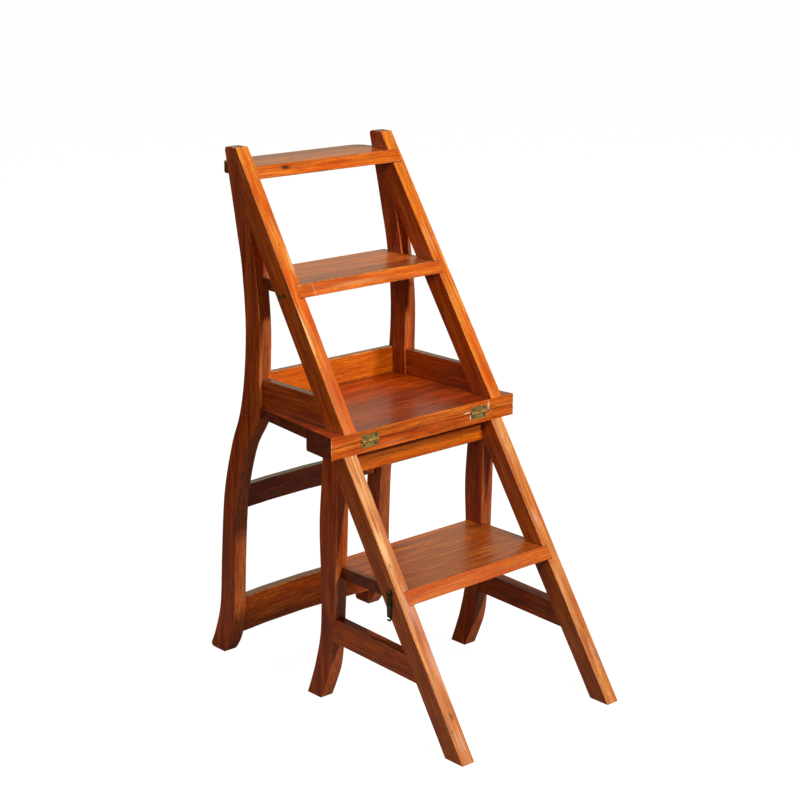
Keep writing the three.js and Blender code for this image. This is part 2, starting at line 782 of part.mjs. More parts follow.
addSolid(lowerFrame, "seat_front", frontBoard(), seatWood);
addSolid(lowerFrame, "lower_tread", treadSolid(TREADS.lower_tread), seatWood);
addSolid(lowerFrame, "front_rail", frontRail(), lacqueredWood);
addSolid(upperFrame, "seat_rear", rearBoard(), seatWood);
addSolid(upperFrame, "middle_tread", treadSolid(TREADS.middle_tread), seatWood);
addSolid(upperFrame, "top_tread", treadSolid(TREADS.top_tread), seatWood);
addSolid(upperFrame, "seat_rail_back", backSeatRail(), lacqueredWood);
addSolid(
  upperFrame,
  "mid_rail",
  bowedRail(MID_RAIL_BOTTOM, MID_RAIL_HEIGHT, MID_RAIL_SETBACK, MID_RAIL_THICKNESS),
  lacqueredWood,
);
addSolid(
  upperFrame,
  "crest_rail",
  bowedRail(CREST_RAIL_BOTTOM, CREST_RAIL_HEIGHT, CREST_RAIL_SETBACK, CREST_RAIL_THICKNESS),
  lacqueredWood,
);

for (const [label, side] of Object.entries(SIDES)) {
  addSolid(lowerFrame, "lower_stringer_" + label, lowerStringer(side), lacqueredWood);
  addSolid(lowerFrame, "front_leg_" + label, frontLeg(side), lacqueredWood);
  addSolid(lowerFrame, "side_stretcher_" + label, sideStretcher(side), lacqueredWood);
  addSolid(upperFrame, "upper_stringer_" + label, upperStringer(side), lacqueredWood);
  addSolid(upperFrame, "post_" + label, post(side), lacqueredWood);
  addSolid(upperFrame, "seat_rail_" + label, sideSeatRail(side), lacqueredWood);

  addSolid(lowerFrame, "hinge_leaf_lower_" + label, hingeLeaf(side, "lower"), brass);
  addSolid(upperFrame, "hinge_leaf_upper_" + label, hingeLeaf(side, "upper"), brass);
  const pin = rod(PIN_RADIUS, -LEAF_WIDTH / 2, LEAF_WIDTH / 2);
  addMesh(lowerFrame, "hinge_pin_" + label, onHingeAxis(pin, side), brass);
  const screwed = [
    [lowerFrame, "hinge_screw_lower_", -1],
    [upperFrame, "hinge_screw_upper_", 1],
  ];
  for (const [frame, name, level] of screwed)
    screwPlaces(side, level).forEach((place, index) => {
      const screw = addMesh(frame, name + label + "_" + (index + 1), hingeScrew(), brass);
      screw.position.copy(place);
    });

  const pivot = turnedAcross(studProfile(PIVOT_DEPTH, 0), side);
  const pivotScrew = addMesh(lowerFrame, "hook_screw_" + label, pivot, darkSteel);
  pivotScrew.position.set(0, HOOK_PIVOT_Y, HOOK_PIVOT_HEIGHT);
  const stud = turnedAcross(studProfile(STUD_DEPTH, 0), side);
  const latchStud = addMesh(upperFrame, "latch_stud_" + label, stud, darkSteel);
  latchStud.position.set(0, STUD_PLACE.y, STUD_PLACE.z);
  const hook = addSolid(
    lowerFrame,
    "latch_hook_" + label,
    sidePrism(hookShape(), side, HOOK_INNER, HOOK_OUTER),
    darkSteel,
  );
  hook.position.set(0, HOOK_PIVOT_Y, HOOK_PIVOT_HEIGHT);
}

// The origin is on the floor, midway between the stringers' toes and the posts' feet.
const chair = new THREE.Group();
chair.add(lowerFrame, upperFrame);
chair.position.y = (STRINGER_RUN - POST_REACH) / 2;
const ladderChair = new THREE.Group();
ladderChair.add(chair);

export default ladderChair;
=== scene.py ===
"""The finished look of a folding library chair that stands open as a four-step ladder."""

import json
import math

import bmesh
import bpy
from mathutils import Euler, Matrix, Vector
from mathutils.bvhtree import BVHTree


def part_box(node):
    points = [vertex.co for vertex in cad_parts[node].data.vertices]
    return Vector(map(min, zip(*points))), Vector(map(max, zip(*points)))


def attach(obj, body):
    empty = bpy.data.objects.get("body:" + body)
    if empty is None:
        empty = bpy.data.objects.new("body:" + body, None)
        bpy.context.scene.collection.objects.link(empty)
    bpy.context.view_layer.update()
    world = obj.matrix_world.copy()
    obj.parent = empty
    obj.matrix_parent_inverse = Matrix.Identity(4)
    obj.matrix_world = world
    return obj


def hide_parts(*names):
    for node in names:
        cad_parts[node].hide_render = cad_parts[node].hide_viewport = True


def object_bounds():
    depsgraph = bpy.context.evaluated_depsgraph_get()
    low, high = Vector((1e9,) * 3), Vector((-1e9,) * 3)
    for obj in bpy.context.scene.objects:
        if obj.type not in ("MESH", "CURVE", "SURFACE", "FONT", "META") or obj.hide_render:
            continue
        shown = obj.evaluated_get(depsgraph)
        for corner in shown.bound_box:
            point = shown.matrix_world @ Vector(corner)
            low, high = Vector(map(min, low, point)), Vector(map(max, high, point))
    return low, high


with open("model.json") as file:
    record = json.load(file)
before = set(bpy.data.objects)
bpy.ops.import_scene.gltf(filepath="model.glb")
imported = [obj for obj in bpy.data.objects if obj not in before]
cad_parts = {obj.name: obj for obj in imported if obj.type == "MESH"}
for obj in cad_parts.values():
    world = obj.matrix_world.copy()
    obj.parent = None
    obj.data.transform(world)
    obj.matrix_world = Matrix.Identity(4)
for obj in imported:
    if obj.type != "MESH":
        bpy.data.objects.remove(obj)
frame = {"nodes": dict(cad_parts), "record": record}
CAD_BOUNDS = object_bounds()


# Camera: a long lens at chest height off the chair's left front corner, which looks down at the steps. Its
# place, turn and length come from a fit to the corners of the boards and the feet in the picture.
CAMERA_AZIMUTH = math.radians(-42.065)
CAMERA_ELEVATION = math.radians(15.462)
CAMERA_PLACE = Vector((-1.978, -2.1708, 1.2978))
CAMERA_LENS_MM = 83.04
CAMERA_SENSOR_MM = 36

camera_data = bpy.data.cameras.new("camera")
camera_data.lens = CAMERA_LENS_MM
camera_data.sensor_width = CAMERA_SENSOR_MM
camera = bpy.data.objects.new("camera", camera_data)
bpy.context.scene.collection.objects.link(camera)
towards_camera = Vector(
    (
        math.sin(CAMERA_AZIMUTH) * math.cos(CAMERA_ELEVATION),
        -math.cos(CAMERA_AZIMUTH) * math.cos(CAMERA_ELEVATION),
        math.sin(CAMERA_ELEVATION),
    )
)
camera.location = CAMERA_PLACE
camera.rotation_euler = (-towards_camera).to_track_quat("-Z", "Y").to_euler()
bpy.context.scene.camera = camera


# Treads: three planed mahogany boards, glued up from strips, with the grain running from side to side.
# Their ends are housed in the stringers and posts, and a thick glossy lacquer rounds every open edge.
MM = 0.001
GRAIN_ACROSS = (0, 0, 0)  # turns that bring a piece's grain onto the pattern's X axis
STRIP_WIDTH = 68 * MM  # of the glued-up strips
STRIP_TONES = (0.72, 1.3)  # of the darkest and the palest strip, as shares of the wood's colour
FIGURE_WIDTH = 15 * MM
STREAK_WIDTH = 4 * MM
LINE_WIDTH = 1.6 * MM  # of the fine dark and light lines along the grain
PORE_WIDTH = 1.3 * MM  # finer in the real wood, drawn as coarse as it needs to show
SHORT_STRETCH = 8  # how much longer than wide the figure and the pores are
LONG_STRETCH = 32  # the same for the streaks and lines
GRAIN_WAVER = 0.3  # how far noise bends the grain
GRAIN_LAYERS = (  # name, width, stretch, detail, and the noise where the layer begins and is full
    ("figure", FIGURE_WIDTH, SHORT_STRETCH, 3, 0.36, 0.66),
    ("streak", STREAK_WIDTH, LONG_STRETCH, 3, 0.46, 0.66),
    ("line", LINE_WIDTH, LONG_STRETCH, 2, 0.44, 0.6),
    ("pore", PORE_WIDTH, SHORT_STRETCH, 0, 0.6, 0.7),
)
RING_SPACING = 15 * MM
RING_STRETCH = 16  # how much longer than wide the waves of the rings are
RING_START = 0.55  # height of the wave above which a ring begins to show
RING_WAVER = 5  # how far noise bends the rings
RING_DETAIL = 2
RING_DETAIL_SCALE = 1.4
WAVE_PERIOD = 2 * math.pi / 20  # of Blender's wave texture at scale 1, in metres
DEEPENING = (("streak", 0.46), ("rings", 0.24), ("line", 0.54), ("pore", 0.42))  # towards the deep colour
PORE_DEPTH = 0.15 * MM
PORE_RELIEF = 0.35  # how much of that depth the lacquer leaves open
RUBBED_AND_SHEEN = "#EDB587"  # bare wood where the lacquer has worn through, made paler to be partly a painted highlight on the edges
RUB_WIDTH = 1 / 240  # of a worn patch, about 4 mm
RUB_DETAIL = 3
RUB_SPAN = (0.45, 0.62)  # noise where the paler rubbed patches begin and where they are full
MARK_FRAYING = 0.5  # how far the streaks pull a mark's outline in and out
MARK_FADE = (0.2, 1.4)  # where a mark begins to fade and where it ends, as shares of its size
# Painted shade: a dark brown mixed into the wood where ambient occlusion finds a spot closed in by other
# parts.
JOINT_SHADE = "#2A0E04"
JOINT_SHADE_REACH = 5 * MM  # how far the painted shade reaches out of a joint
JOINT_SHADE_SPAN = (0.15, 0.6)  # openness to the air at which the painted shade is full and at which it ends
JOINT_SHADE_STRENGTH = 0.34
JOINT_SHADE_SAMPLES = 6
LACQUER_IOR = 1.5
LACQUER_ROUGHNESS = (0.32, 0.44)  # where the figure is dark and where it is pale
LACQUER_SPECULAR = 0.5
COAT_WEIGHT = 0.3
COAT_ROUGHNESS = 0.22
KNOT = "#3A1206"
# Pale wood and a painted highlight: the amber patches stand in for the lamp's soft sheen on the fronts.
AMBER_WOOD_AND_SHEEN = "#F2BC78"
SCUFF = "#DBA08A"
CHIP = "#F6D8C6"
RUDDY = "#B04404"


def srgb(code):
    """A six-digit sRGB colour as linear RGBA, by the standard's own curve."""
    shares = [int(code[i : i + 2], 16) / 255 for i in (1, 3, 5)]
    linear = [c / 12.92 if c <= 0.04045 else ((c + 0.055) / 1.055) ** 2.4 for c in shares]
    return (*linear, 1)


def add_node(tree, kind, settings=None, inputs=None):
    """Adds a node to a tree. An input is a plain value, or the socket that feeds it. A Mix node has its
    two colours at 6 and 7 and the mixed one at output 2."""
    made = tree.nodes.new(kind)
    for key, value in (settings or {}).items():
        setattr(made, key, value)
    for key, value in (inputs or {}).items():
        if isinstance(value, bpy.types.NodeSocket):
            tree.links.new(value, made.inputs[key])
        else:
            made.inputs[key].default_value = value
    return made


def glued_strips(tree, along_grain, width):
    """Strips side by side across the grain: a chance number for each, and its own place in the grain."""
    across = add_node(
        tree, "ShaderNodeSeparateXYZ", inputs={"Vector": along_grain}
    ).outputs["Y"]
    counted = add_node(
        tree, "ShaderNodeMath", {"operation": "DIVIDE"}, {0: across, 1: width}
    ).outputs[0]
    strip = add_node(tree, "ShaderNodeMath", {"operation": "FLOOR"}, {0: counted}).outputs[0]
    chance = add_node(
        tree, "ShaderNodeTexWhiteNoise", {"noise_dimensions": "1D"}, {"W": strip}
    ).outputs["Value"]
    shift = add_node(
        tree, "ShaderNodeCombineXYZ", inputs={"X": chance, "Z": chance}
    ).outputs["Vector"]
    shifted = add_node(
        tree, "ShaderNodeVectorMath", {"operation": "ADD"}, {0: along_grain, 1: shift}
    ).outputs["Vector"]
    return chance, shifted


def grain_shares(tree, along_grain):
    """How strongly each layer of the grain shows: figure, streaks, fine lines, pores and growth rings."""
    shares = {}
    for layer, width, stretch, detail, low, high in GRAIN_LAYERS:
        scaled = add_node(
            tree,
            "ShaderNodeVectorMath",
            {"operation": "MULTIPLY"},
            {0: along_grain, 1: (1 / (width * stretch), 1 / width, 1 / width)},
        ).outputs["Vector"]
        cloud = add_node(
            tree,
            "ShaderNodeTexNoise",
            inputs={"Vector": scaled, "Scale": 1, "Detail": detail, "Distortion": GRAIN_WAVER},
        ).outputs["Fac"]
        shares[layer] = add_node(
            tree,
            "ShaderNodeMapRange",
            inputs={"Value": cloud, "From Min": low, "From Max": high},
        ).outputs["Result"]
    flattened = add_node(
        tree,
        "ShaderNodeVectorMath",
        {"operation": "MULTIPLY"},
        {0: along_grain, 1: (1 / RING_STRETCH, 1, 1)},
    ).outputs["Vector"]
    waves = add_node(
        tree,
        "ShaderNodeTexWave",
        {"bands_direction": "DIAGONAL"},
        {
            "Vector": flattened,
            "Scale": WAVE_PERIOD / RING_SPACING,
            "Distortion": RING_WAVER,
            "Detail": RING_DETAIL,
            "Detail Scale": RING_DETAIL_SCALE,
        },
    ).outputs["Fac"]
    shares["rings"] = add_node(
        tree, "ShaderNodeMapRange", inputs={"Value": waves, "From Min": RING_START, "From Max": 1}
    ).outputs["Result"]
    return shares


def marked(tree, colour, along_grain, turn, streaks, marks):
    """The colour with marks over it: knots, chips, scuffs and paler or redder patches. Each mark is a
    place, its half length along the grain, its half width, a colour and how solid it is."""
    for centre, half_length, half_width, stain, strength in marks:
        middle = Euler(turn).to_matrix() @ Vector(centre)
        offset = add_node(
            tree, "ShaderNodeVectorMath", {"operation": "SUBTRACT"}, {0: along_grain, 1: middle}
        ).outputs["Vector"]
        shrunk = add_node(
            tree,
            "ShaderNodeVectorMath",
            {"operation": "DIVIDE"},
            {0: offset, 1: (half_length, half_width, half_width)},
        ).outputs["Vector"]
        away = add_node(
            tree, "ShaderNodeVectorMath", {"operation": "LENGTH"}, {0: shrunk}
        ).outputs["Value"]
        frayed = add_node(
            tree,
            "ShaderNodeMath",
            {"operation": "MULTIPLY_ADD"},
            {0: streaks, 1: MARK_FRAYING, 2: away},
        ).outputs[0]
        share = add_node(
            tree,
            "ShaderNodeMapRange",
            {"interpolation_type": "SMOOTHSTEP"},
            {
                "Value": frayed,
                "From Min": MARK_FADE[0],
                "From Max": MARK_FADE[1],
                "To Min": strength,
                "To Max": 0,
            },
        ).outputs["Result"]
        colour = add_node(
            tree,
            "ShaderNodeMix",
            {"data_type": "RGBA"},
            {"Factor": share, 6: colour, 7: srgb(stain)},
        ).outputs[2]
    return colour


def lacquered_wood(name, turn, pale, body, deep, strips=0.0, wear_and_sheen=0.0, marks=(), gloss=1.0):
    """Mahogany under a lacquer: its grain between a pale, a body and a deep colour, strips of a given
    width where it is glued up, rubbed patches that are partly a painted highlight, marks, and painted
    shade in the joints."""
    material = bpy.data.materials.new(name)
    material.use_nodes = True
    tree = material.node_tree
    tree.nodes.clear()
    place = add_node(tree, "ShaderNodeTexCoord").outputs["Object"]
    along_grain = add_node(
        tree, "ShaderNodeMapping", inputs={"Vector": place, "Rotation": turn}
    ).outputs["Vector"]
    in_strip = along_grain
    if strips:
        chance, in_strip = glued_strips(tree, along_grain, strips)
    shares = grain_shares(tree, in_strip)
    colour = add_node(
        tree,
        "ShaderNodeMix",
        {"data_type": "RGBA"},
        {"Factor": shares["figure"], 6: srgb(body), 7: srgb(pale)},
    ).outputs[2]
    for layer, amount in DEEPENING:
        share = add_node(
            tree, "ShaderNodeMath", {"operation": "MULTIPLY"}, {0: shares[layer], 1: amount}
        ).outputs[0]
        colour = add_node(
            tree,
            "ShaderNodeMix",
            {"data_type": "RGBA"},
            {"Factor": share, 6: colour, 7: srgb(deep)},
        ).outputs[2]
    if strips:
        tone = add_node(
            tree,
            "ShaderNodeMapRange",
            inputs={"Value": chance, "To Min": STRIP_TONES[0], "To Max": STRIP_TONES[1]},
        ).outputs["Result"]
        colour = add_node(
            tree,
            "ShaderNodeVectorMath",
            {"operation": "SCALE"},
            {0: colour, "Scale": tone},
        ).outputs["Vector"]
    # Rubbed patches of paler wood, which on the edges are partly a painted highlight.
    if wear_and_sheen:
        ragged = add_node(
            tree,
            "ShaderNodeTexNoise",
            inputs={"Vector": place, "Scale": 1 / RUB_WIDTH, "Detail": RUB_DETAIL},
        ).outputs["Fac"]
        rubbed = add_node(
            tree,
            "ShaderNodeMapRange",
            inputs={
                "Value": ragged,
                "From Min": RUB_SPAN[0],
                "From Max": RUB_SPAN[1],
                "To Max": wear_and_sheen,
            },
        ).outputs["Result"]
        colour = add_node(
            tree,
            "ShaderNodeMix",
            {"data_type": "RGBA"},
            {"Factor": rubbed, 6: colour, 7: srgb(RUBBED_AND_SHEEN)},
        ).outputs[2]
    colour = marked(tree, colour, along_grain, turn, shares["streak"], marks)
    # Painted shade in the joints: the less open a spot is to the air, the more of the dark brown is mixed
    # in.
    open_air = add_node(
        tree,
        "ShaderNodeAmbientOcclusion",
        {"samples": JOINT_SHADE_SAMPLES},
        {"Distance": JOINT_SHADE_REACH},
    ).outputs["AO"]
    joint_shade = add_node(
        tree,
        "ShaderNodeMapRange",
        inputs={
            "Value": open_air,
            "From Min": JOINT_SHADE_SPAN[0],
            "From Max": JOINT_SHADE_SPAN[1],
            "To Min": JOINT_SHADE_STRENGTH,
            "To Max": 0,
        },
    ).outputs["Result"]
    colour = add_node(
        tree, "ShaderNodeMix", {"data_type": "RGBA"}, {"Factor": joint_shade, 6: colour, 7: srgb(JOINT_SHADE)}
    ).outputs[2]
    roughness = add_node(
        tree,
        "ShaderNodeMapRange",
        inputs={
            "Value": shares["figure"],
            "To Min": LACQUER_ROUGHNESS[0],
            "To Max": LACQUER_ROUGHNESS[1],
        },
    ).outputs["Result"]
    relief = add_node(
        tree,
        "ShaderNodeBump",
        inputs={"Height": shares["pore"], "Strength": PORE_RELIEF, "Distance": -PORE_DEPTH},
    ).outputs["Normal"]
    shader = add_node(
        tree,
        "ShaderNodeBsdfPrincipled",
        inputs={
            "Base Color": colour,
            "Roughness": roughness,
            "IOR": LACQUER_IOR,
            "Specular IOR Level": LACQUER_SPECULAR * gloss,
            "Coat Weight": COAT_WEIGHT * gloss,
            "Coat Roughness": COAT_ROUGHNESS,
            "Normal": relief,
        },
    ).outputs[0]
    add_node(tree, "ShaderNodeOutputMaterial", inputs={"Surface": shader})
    return material


EDGE_ROUNDING = 1.8 * MM
WORN_ROUNDING = 7 * MM  # of the side frames' tops, worn on the floor as the chair's rear feet
ROUNDING_STEPS = 3
NARROW = 1  # place of the narrow faces' material on a piece, after the broad faces' one
SAWN = 2  # place of the sawn ends' material
ROUNDED = 3  # place of the rounded edges' material
WELD = 0.01 * MM
FLATNESS = math.radians(0.4)  # triangles that turn less than this are one flat face
JOINT_REACH = 0.8 * MM  # an edge nearer than this to another piece is part of a joint
JOINT_EASING = 0.5 * MM  # such an edge is only just broken, which leaves a fine line along the joint
SHARP_ANGLE = math.radians(28)
FACING_SHARE = 0.75  # a face looks along a direction when its normal comes this close to it
SIDEWAYS = (1, 0, 0)
ENDWAYS = (0, 1, 0)
UPRIGHT = (0, 0, 1)


def body_of(node_name):
    """The body that a node moves with."""
    bodies = frame["record"]["behaviour"]["bodies"]
    return next(body for body, members in bodies.items() if node_name in members)


def solid_copy(node_name):
    """The node's solid with its vertices joined and its flat faces whole."""
    shape = bmesh.new()
    shape.from_mesh(frame["nodes"][node_name].data)
    bmesh.ops.remove_doubles(shape, verts=shape.verts, dist=WELD)
    bmesh.ops.dissolve_limit(
        shape, angle_limit=FLATNESS, verts=shape.verts, edges=shape.edges
    )
    bmesh.ops.recalc_face_normals(shape, faces=shape.faces)
    return shape


def joined_to(node_name):
    """The other wooden solids of the same body, to find where a joint closes an edge."""
    others = bmesh.new()
    members = frame["record"]["behaviour"]["bodies"][body_of(node_name)]
    for other in members:
        if other != node_name and not other.startswith(("hinge", "hook", "latch")):
            others.from_mesh(frame["nodes"][other].data)
    tree = BVHTree.FromBMesh(others)
    others.free()
    return tree


def crisp_normals(mesh):
    """Corner normals that keep flat faces flat, let curves run on and turn evenly over rounded edges."""
    around = [[] for _ in mesh.vertices]
    for face in mesh.polygons:
        for vertex in face.vertices:
            around[vertex].append(face)
    normals = []
    for face in mesh.polygons:
        for vertex in face.vertices:
            near = around[vertex]
            flats = [other for other in near if other.material_index != ROUNDED]
            if face.material_index == ROUNDED and flats:
                lead = max(flats, key=lambda other: other.normal.dot(face.normal))
            else:
                lead = face
            if flats:
                near = [other for other in flats if other.normal.angle(lead.normal, 0) < SHARP_ANGLE]
            total = sum((other.normal * other.area for other in near), Vector())
            normals.append(total.normalized())
    mesh.normals_split_custom_set(normals)


def weigh_edges(shape, others, rounding, worn_above):
    """Says how round each sharp edge gets: hardly at a joint, and most of all above the worn height."""
    weights = shape.edges.layers.float.new("bevel_weight_edge")
    for edge in shape.edges:
        if len(edge.link_faces) != 2 or edge.calc_face_angle_signed() <= SHARP_ANGLE:
            continue
        middle = (edge.verts[0].co + edge.verts[1].co) / 2
        if others.find_nearest(middle, JOINT_REACH)[0] is not None:
            width = min(rounding, JOINT_EASING)
        elif min(vertex.co.z for vertex in edge.verts) > worn_above:
            width = WORN_ROUNDING
        else:
            width = rounding
        edge[weights] = width / WORN_ROUNDING


def dressed(node_name, thickness, grain, materials, rounding, worn_above=math.inf):
    """A finished copy of a node's solid, with its open edges rounded, that stands for the node. Its four
    materials are for the broad faces, which look along the thickness, the narrow faces, the sawn ends
    and the rounded edges. Edges above a height are worn rounder."""
    shape = solid_copy(node_name)
    weigh_edges(shape, joined_to(node_name), rounding, worn_above)
    for face in shape.faces:
        face.smooth = True
        if abs(face.normal.dot(Vector(thickness))) < FACING_SHARE:
            across_grain = abs(face.normal.dot(Vector(grain))) > FACING_SHARE
            face.material_index = SAWN if across_grain else NARROW
    mesh = bpy.data.meshes.new(node_name + "_finished")
    shape.to_mesh(mesh)
    shape.free()
    for material in materials:
        mesh.materials.append(material)
    piece = bpy.data.objects.new(node_name + "_finished", mesh)
    bpy.context.scene.collection.objects.link(piece)
    bevel = piece.modifiers.new("rounding", "BEVEL")
    bevel.width = WORN_ROUNDING
    bevel.segments = ROUNDING_STEPS
    bevel.limit_method = "WEIGHT"
    bevel.material = ROUNDED
    piece.data = bpy.data.meshes.new_from_object(
        piece.evaluated_get(bpy.context.evaluated_depsgraph_get())
    )
    piece.modifiers.clear()
    crisp_normals(piece.data)
    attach(piece, body_of(node_name))
    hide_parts(node_name)


TREAD_MARKS = (  # knots and a streak on the top tread, scuffs, an amber patch of pale wood and painted highlight, a ruddy lower tread
    ((-0.086, 0.2077, 0.857), 0.012, 0.005, KNOT, 0.95),
    ((-0.101, 0.211, 0.864), 0.005, 0.0025, KNOT, 0.9),
    ((-0.143, 0.197, 0.841), 0.004, 0.0025, KNOT, 0.5),
    ((-0.06, 0.207, 0.855), 0.03, 0.003, KNOT, 0.25),
    ((-0.124, 0.089, 0.673), 0.0016, 0.014, SCUFF, 0.55),
    ((-0.15, 0.097, 0.685), 0.003, 0.005, SCUFF, 0.5),
    ((-0.143, -0.18, 0.218), 0.0018, 0.012, SCUFF, 0.5),
    ((-0.04, 0.09, 0.675), 0.07, 0.005, AMBER_WOOD_AND_SHEEN, 0.3),
    ((0, -0.175, 0.226), 0.3, 0.04, RUDDY, 0.35),
)
# Mahogany end grain, sawn and lacquered: it drinks the finish, so the open ends are the darkest wood.
sawn_end = lacquered_wood(
    "sawn_mahogany_ends", GRAIN_ACROSS, "#8A3A12", "#6A240A", "#340E04"
)
# Mahogany boards, glued up and lacquered: strips of unlike tone that run on under one even gloss, a deeper
# red than the fronts as painted shade.
tread_wood = lacquered_wood(
    "lacquered_mahogany_treads", GRAIN_ACROSS, "#E27822", "#C2500A", "#641C04", STRIP_WIDTH
)
# Mahogany planed to a bevel: a clear orange band, brighter than the tops as painted light, with long fine
# lines, a few knots and scuffs.
tread_front = lacquered_wood(
    "planed_mahogany_tread_fronts",
    GRAIN_ACROSS,
    "#E87C12",
    "#D45C06",
    "#943204",
    marks=TREAD_MARKS,
)
# Mahogany edges rubbed by shoes: a thin broken line, paler where the lacquer has worn through and partly a
# painted highlight.
tread_edge = lacquered_wood(
    "rubbed_mahogany_tread_edges", GRAIN_ACROSS, "#D87A20", "#C0560E", "#702404", wear_and_sheen=0.35
)
for name in ("lower_tread", "middle_tread", "top_tread"):
    dressed(
        name,
        UPRIGHT,
        SIDEWAYS,
        [tread_wood, tread_front, sawn_end, tread_edge],
        EDGE_ROUNDING,
    )


# Seat boards: the chair's seat, cut in two across its front and glued up from narrow strips. The rear
# board is notched round the posts, and both front edges carry the hinges, where the lacquer has chipped.
SEAT_STRIP_WIDTH = 47.6 * MM
SEAT_MARKS = (  # chips round the right hinge and at the left corner, and a faint scuff
    ((0.094, -0.0425, 0.454), 0.011, 0.0022, CHIP, 0.9),
    ((0.102, -0.0425, 0.446), 0.002, 0.007, CHIP, 0.75),
    ((0.144, -0.0425, 0.457), 0.0022, 0.009, CHIP, 0.85),
    ((0.15, -0.0425, 0.449), 0.004, 0.0022, CHIP, 0.6),
    ((-0.203, -0.0425, 0.455), 0.002, 0.014, CHIP, 0.5),
    ((-0.07, -0.0425, 0.438), 0.03, 0.003, SCUFF, 0.15),
)
# Mahogany boards, glued up and lacquered: redder and deeper than the treads, as painted shade so the tray
# looks sunken.
seat_wood = lacquered_wood(
    "lacquered_mahogany_seat", GRAIN_ACROSS, "#CC5008", "#A83402", "#4C1202", SEAT_STRIP_WIDTH
)
# Mahogany planed square: two bright bands, brighter than the tops as painted light, with pale chips round
# the hinges and at the corner.
seat_front = lacquered_wood(
    "planed_mahogany_seat_fronts",
    GRAIN_ACROSS,
    "#EE7E24",
    "#DA5C10",
    "#822A06",
    marks=SEAT_MARKS,
)
for name in ("seat_front", "seat_rear"):
    dressed(
        name,
        UPRIGHT,
        SIDEWAYS,
        [seat_wood, seat_front, sawn_end, tread_edge],
        EDGE_ROUNDING,
    )


# Stringers: the slanting side bars that carry the treads, sawn from straight boards with the grain along
# them and scribed to the posts and legs where they meet.
STRINGER_RUN_PER_RISE = 0.6443
STRINGER_LEAN = math.atan(STRINGER_RUN_PER_RISE)  # away from upright
GRAIN_SLANTED = (STRINGER_LEAN, math.pi / 2, 0)
ALONG_STRINGER = (0, math.sin(STRINGER_LEAN), math.cos(STRINGER_LEAN))
WORN_HEIGHT = 8 * MM
WORN_TOP = CAD_BOUNDS[1][2] - WORN_HEIGHT  # above this the tops of the side frames are worn round
STRINGER_MARKS = (  # the upper bars' patches and chips, then the lower bars' patches, scuffs and knots; amber ones are painted highlight
    ((-0.166, -0.008, 0.521), 0.06, 0.02, RUDDY, 0.6),
    ((-0.172, 0.056, 0.622), 0.05, 0.008, AMBER_WOOD_AND_SHEEN, 0.7),
    ((-0.155, 0.152, 0.771), 0.024, 0.002, AMBER_WOOD_AND_SHEEN, 0.4),
    ((-0.15, 0.119, 0.719), 0.025, 0.004, AMBER_WOOD_AND_SHEEN, 0.5),
    ((-0.186, 0.095, 0.682), 0.02, 0.003, CHIP, 0.5),
    ((-0.181, 0.135, 0.745), 0.03, 0.002, CHIP, 0.4),
    ((0.171, 0.217, 0.872), 0.007, 0.003, CHIP, 0.9),
    ((0.172, 0.227, 0.887), 0.004, 0.003, CHIP, 0.9),
    ((0.157, 0.118, 0.717), 0.04, 0.006, AMBER_WOOD_AND_SHEEN, 0.35),
    ((-0.169, -0.079, 0.374), 0.04, 0.008, AMBER_WOOD_AND_SHEEN, 0.65),
    ((-0.17, -0.125, 0.303), 0.05, 0.01, AMBER_WOOD_AND_SHEEN, 0.9),
    ((-0.169, -0.143, 0.276), 0.005, 0.0025, KNOT, 0.6),
    ((-0.161, -0.183, 0.214), 0.04, 0.01, SCUFF, 0.7),
    ((-0.155, -0.235, 0.135), 0.05, 0.009, SCUFF, 0.5),
    ((-0.165, -0.3, 0.03), 0.02, 0.008, SCUFF, 0.4),
    ((0.144, -0.089, 0.36), 0.02, 0.004, AMBER_WOOD_AND_SHEEN, 0.4),
    ((0.162, -0.14, 0.28), 0.018, 0.005, SCUFF, 0.7),
    ((0.17, -0.272, 0.075), 0.025, 0.004, SCUFF, 0.6),
    ((0.16, -0.201, 0.185), 0.04, 0.004, AMBER_WOOD_AND_SHEEN, 0.4),
    ((-0.163, -0.279, 0.065), 0.008, 0.005, KNOT, 0.6),
    ((-0.173, -0.291, 0.046), 0.004, 0.003, KNOT, 0.4),
    ((0.169, -0.247, 0.114), 0.004, 0.002, KNOT, 0.6),
    ((0.171, -0.275, 0.07), 0.012, 0.003, KNOT, 0.45),
)
# Mahogany, sawn and lacquered: brown sides with a soft straight grain that leans with the bar.
stringer_wood = lacquered_wood(
    "lacquered_mahogany_stringers", GRAIN_SLANTED, "#D46410", "#B84404", "#6A1E02"
)
# Mahogany, planed and lacquered: the brightest orange, partly painted light on the lit fronts, with amber
# patches, scratches and chipped ends.
stringer_front = lacquered_wood(
    "planed_mahogany_stringer_fronts",
    GRAIN_SLANTED,
    "#F09428",
    "#E06208",
    "#9C3404",
    marks=STRINGER_MARKS,
)
# Mahogany edges rubbed by hands and shoes: a pale broken line down each side of the bright fronts, part
# worn wood and part painted highlight.
stringer_edge_and_sheen = lacquered_wood(
    "rubbed_and_highlit_mahogany_stringer_edges",
    GRAIN_SLANTED,
    "#E8984A",
    "#D06C26",
    "#883810",
    wear_and_sheen=0.75,
    marks=STRINGER_MARKS,
)
# Mahogany, lacquered and scuffed by feet: the same sides a little greyer and paler.
lower_stringer_wood = lacquered_wood(
    "scuffed_mahogany_lower_stringers", GRAIN_SLANTED, "#D06A20", "#B44A12", "#68280A"
)
